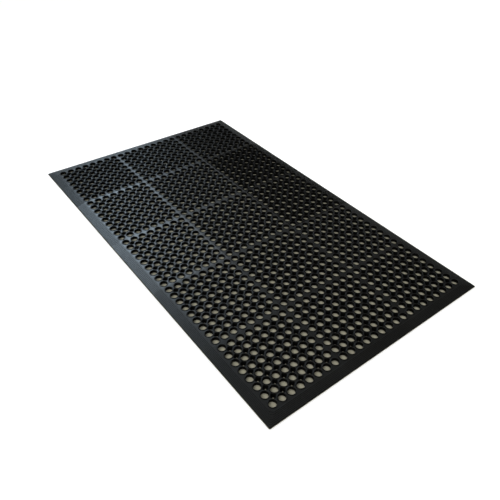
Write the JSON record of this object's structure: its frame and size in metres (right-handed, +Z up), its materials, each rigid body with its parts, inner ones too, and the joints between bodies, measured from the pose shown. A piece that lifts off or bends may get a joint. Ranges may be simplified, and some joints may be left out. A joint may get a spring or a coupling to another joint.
{
  "type": "anti-fatigue mat",
  "caption": "Flat black rubber anti-fatigue drainage mat to stand on, with a square grid of round drain holes and a ribbed ramp down to the floor on all four sides.",
  "frame": {"origin": "middle of the underside, on the floor under the centre of the mat", "axes": "+Z up out of the standing surface, +Y along the long side, +X along the short side; front is the -Y end, left is the -X side"},
  "size_m": [0.9144, 1.524, 0.0127],
  "materials": {
    "moulded_rubber": "satin black moulded rubber"
  },
  "bodies": {
    "root": {"front_left_corner": "moulded_rubber", "front_edge": "moulded_rubber", "front_right_corner": "moulded_rubber", "left_edge_1": "moulded_rubber", "centre_1": "moulded_rubber", "right_edge_1": "moulded_rubber", "left_edge_2": "moulded_rubber", "centre_2": "moulded_rubber", "right_edge_2": "moulded_rubber", "left_edge_3": "moulded_rubber", "centre_3": "moulded_rubber", "right_edge_3": "moulded_rubber", "back_left_corner": "moulded_rubber", "back_edge": "moulded_rubber", "back_right_corner": "moulded_rubber"}
  },
  "joints": []
}
